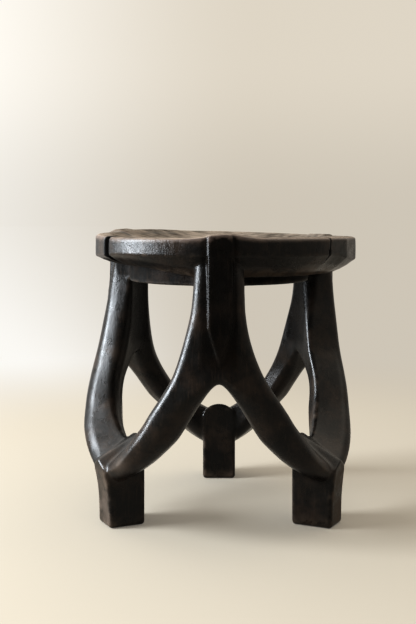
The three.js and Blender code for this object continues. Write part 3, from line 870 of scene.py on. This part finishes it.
def stained_wood():
    """Near-black polished stain, bare where hands and floors wear it, and dusty in the dish.
    Shade is painted in the cracks and the right column's top, bounce light under the rim.
    """
    material = bpy.data.materials.new("stained_wood")
    n = Nodes(material)
    place = n.add("TexCoord").outputs["Object"]
    grain = n.noise(n.stretched(place, UP_THE_GRAIN), *GRAIN)
    fibres = n.noise(n.stretched(place, ACROSS_THE_SEAT), *FIBRES)
    clouds, patches, speckle = (n.noise(place, *kind) for kind in (CLOUDS, PATCHES, SPECKLE))

    matt_and_shade, under, split = n.mask("matt_and_shade"), n.mask("under"), n.mask("split")
    seat_top = n.mask("seat_top")
    warm = n.math("SUBTRACT", 1.0, n.math("MULTIPLY", matt_and_shade, MATT_AND_SHADE_LESS_WARM))
    color = n.mix(n.math("MULTIPLY", n.ramp(clouds, *WARM_FROM), warm), STAIN, STAIN_WARM)
    streak = n.math("MULTIPLY", n.ramp(grain, *STREAK_FROM), STREAK_SHOWN)
    streak = n.math("MULTIPLY", streak, warm)
    color = n.mix(streak, color, STREAK)
    bare_and_bounce = {}
    for name, low, high, amount in BARE_AND_BOUNCE:
        bare_and_bounce[name] = n.math("MULTIPLY", n.mask(name), n.ramp(patches, low, high), clamp=True)
        color = n.mix(n.math("MULTIPLY", bare_and_bounce[name], amount), color, WORN_AND_BOUNCE)
    worn = n.math("ADD", n.math("MULTIPLY", clouds, 0.5), n.math("MULTIPLY", fibres, 0.5))
    dusty = n.math("MULTIPLY", seat_top, n.ramp(worn, *DUST_FROM), clamp=True)
    color = n.mix(n.math("MULTIPLY", dusty, DUST_SHOWN), color, DUST)
    color = n.mix(n.math("MULTIPLY", n.mask("top_edge"), RUBBED_SHOWN), color, RUBBED)
    # Painted shade: the insides of the cracks are made near black.
    color = n.mix(split, color, CRACK_SHADE)

    roughness = n.math("MULTIPLY", n.ramp(patches, *ROUGHER_FROM), PATCHES_ROUGHER)
    roughness = n.math("ADD", roughness, SMOOTHEST)
    rougher = [(under, 0.4), (split, 0.4), (matt_and_shade, -0.04), (bare_and_bounce["facet"], 0.2), (dusty, 0.2)]
    roughness = n.total(roughness, rougher)
    shine = n.total(SHINE, [(matt_and_shade, -0.12), (seat_top, -0.2), (under, -0.13)])
    shader = n.add("BsdfPrincipled", Base_Color=color, Roughness=roughness)
    n.put(shader, "Specular IOR Level", shine)

    speckled = n.math("ADD", n.math("MULTIPLY", n.mask("rough"), ROUGH_SHARE), under)
    speckled = n.math("MULTIPLY", speckle, n.math("ADD", speckled, SPECKLE_SHARE))
    fine = n.math("ADD", n.math("MULTIPLY", grain, GRAIN_SHARE), speckled)
    fine_bump = n.bump(fine, FINE_BUMP)
    n.put(shader, "Normal", n.bump(patches, SOFT_BUMP, Normal=fine_bump))
    n.put(n.add("OutputMaterial"), "Surface", shader.outputs["BSDF"])
    return material


# The room, in metres: cream that darkens to the right, and less of it in front of the stool.
CREAM_LEFT, CREAM_RIGHT, CREAM_TURNS = (0.98, 0.965, 0.93), (0.68, 0.63, 0.547), (-0.42, 0.05)
BLACK = (0.0, 0.0, 0.0)
ROOM_IN_FRONT, FRONT_RIGHT_LIGHTER, FRONT_RIGHT = 0.4, 0.7, (0.1, 0.7)
FRONT_TO_BACK = (-0.5, 0.3)
# Its light is stronger just above the horizon, and much stronger overhead, by the rise of a ray.
OVER_HORIZON, OVER_HORIZON_RISE = 0.15, (0.0, 0.17)
OVERHEAD, OVERHEAD_RISE = 3.6, (0.28, 0.75)
# The floor: its colour and even glow, its size, and the distances between which it turns into
# the room.
FLOOR, FLOOR_GLOW, FLOOR_ROUGHNESS = (0.168, 0.153, 0.129), (0.150, 0.140, 0.124), 0.7
FLOOR_HALF, FLOOR_FADES = 30.0, (0.5, 1.35)
# The window at the left: place, what it faces, width and height, power and colour.
WINDOW, WINDOW_FACES, WINDOW_SIZE = (-1.95, -0.32, 1.05), (0, -0.32, 0.9), (0.75, 1.9)
WINDOW_POWER, WINDOW_COLOR = 325, (0.88, 0.94, 1.0)
GAMMA = 0.80
# The camera: distance in front of the legs' axis and height, then in pixels its focal length,
# the point it looks at, and the picture's size.
CAMERA_DISTANCE, CAMERA_HEIGHT = 1.2267, 0.3858
FOCAL, LOOKS_AT_X, LOOKS_AT_Y = 920.0, 219.0, 215.0
PICTURE_WIDTH, PICTURE_HEIGHT, SENSOR = 416.0, 624.0, 36.0


def backdrop(n, direction):
    """The soft cream of the room, by the direction in which it lies."""
    parts = n.add("SeparateXYZ", Vector=direction)
    cream = n.mix(n.ramp(parts.outputs["X"], *CREAM_TURNS), CREAM_LEFT, CREAM_RIGHT)
    to_right = n.ramp(parts.outputs["X"], *FRONT_RIGHT)
    lighter = n.math("MULTIPLY", to_right, FRONT_RIGHT_LIGHTER)
    darker = n.mix(n.math("ADD", lighter, ROOM_IN_FRONT), BLACK, cream)
    return n.mix(n.ramp(parts.outputs["Y"], *FRONT_TO_BACK), darker, cream)


def pale_floor():
    """A matt floor that turns into the backdrop away from the stool."""
    material = bpy.data.materials.new("pale_floor")
    n = Nodes(material)
    place = n.add("TexCoord").outputs["Object"]
    away = n.add("VectorMath")
    away.operation = "LENGTH"
    n.put(away, 0, place)
    heading = n.add("VectorMath")
    heading.operation = "NORMALIZE"
    n.put(heading, 0, place)
    near = n.add("BsdfPrincipled", Roughness=FLOOR_ROUGHNESS)
    near.inputs["Base Color"].default_value = (*FLOOR, 1.0)
    near.inputs["Specular IOR Level"].default_value = 0.0
    near.inputs["Emission Color"].default_value = (*FLOOR_GLOW, 1.0)
    near.inputs["Emission Strength"].default_value = 1.0
    far = n.add("Emission", Color=backdrop(n, heading.outputs["Vector"]))
    both = n.add("MixShader")
    n.put(both, 0, n.ramp(away.outputs["Value"], *FLOOR_FADES))
    n.put(both, 1, near.outputs["BSDF"])
    n.put(both, 2, far.outputs["Emission"])
    n.put(n.add("OutputMaterial"), "Surface", both.outputs["Shader"])
    return material


def put_in_scene(obj):
    bpy.context.scene.collection.objects.link(obj)
    return obj


def make_stool():
    """The stool as one piece, in place of its solid."""
    points, faces, masks = worked_surface()
    points = points + (AXIS_X, AXIS_Y, 0.0)
    mesh = made_mesh("stool", points, faces, masks)
    obj = put_in_scene(bpy.data.objects.new("stool", mesh))
    thinned(obj, TRIANGLES)
    obj.data.materials.append(stained_wood())
    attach(obj, "root")
    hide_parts("carved_stool")


def make_floor():
    """A plain floor, wide enough to reach the horizon."""
    corners = [(FLOOR_HALF * x, FLOOR_HALF * y, 0) for x, y in ((-1, -1), (1, -1), (1, 1), (-1, 1))]
    mesh = bpy.data.meshes.new("floor")
    mesh.from_pydata(corners, [], [(0, 1, 2, 3)])
    floor = put_in_scene(bpy.data.objects.new("floor", mesh))
    mesh.materials.append(pale_floor())


def area_light(name, location, target, size, power, color):
    """A soft rectangular light at a place, turned towards a target."""
    light = bpy.data.lights.new(name, "AREA")
    light.shape = "RECTANGLE"
    light.size, light.size_y = size
    light.energy = power
    light.color = color
    obj = put_in_scene(bpy.data.objects.new(name, light))
    aim = np.array(target) - np.array(location)
    heading = math.atan2(aim[1], aim[0])
    pitch = math.atan2(aim[2], math.hypot(aim[0], aim[1]))
    obj.location = location
    obj.rotation_euler = (math.radians(90) + pitch, 0, heading - math.radians(90))


def make_room():
    """The light of the room: cream at the horizon, brighter above."""
    world = bpy.data.worlds.new("room")
    n = Nodes(world)
    direction = n.add("TexCoord").outputs["Generated"]
    height = n.add("SeparateXYZ", Vector=direction).outputs["Z"]
    strength = 1.0
    for amount, rise in ((OVER_HORIZON, OVER_HORIZON_RISE), (OVERHEAD, OVERHEAD_RISE)):
        more = n.math("MULTIPLY", n.ramp(height, *rise), amount)
        strength = n.math("ADD", more, strength)
    light = n.add("Background", Color=backdrop(n, direction), Strength=strength)
    n.put(n.add("OutputWorld"), "Surface", light.outputs["Background"])
    bpy.context.scene.world = world


def make_lights():
    """Daylight from a window at the left, and the light of the room."""
    area_light("window", WINDOW, WINDOW_FACES, WINDOW_SIZE, WINDOW_POWER, WINDOW_COLOR)
    make_room()
    bpy.context.scene.view_settings.view_transform = "Standard"
    bpy.context.scene.view_settings.gamma = GAMMA


def make_camera():
    """The camera in front of the stool, level, a little higher than the seat."""
    data = bpy.data.cameras.new("camera")
    data.sensor_width = SENSOR
    data.lens = SENSOR * FOCAL / PICTURE_HEIGHT
    data.shift_x = (PICTURE_WIDTH / 2 - LOOKS_AT_X) / PICTURE_HEIGHT
    data.shift_y = -(PICTURE_HEIGHT / 2 - LOOKS_AT_Y) / PICTURE_HEIGHT
    data.clip_start, data.clip_end = 0.05, 60
    camera = put_in_scene(bpy.data.objects.new("camera", data))
    camera.location = (AXIS_X * MM, AXIS_Y * MM - CAMERA_DISTANCE, CAMERA_HEIGHT)
    camera.rotation_euler = (math.radians(90), 0, 0)
    bpy.context.scene.camera = camera


make_camera()
make_stool()
make_floor()
make_lights()
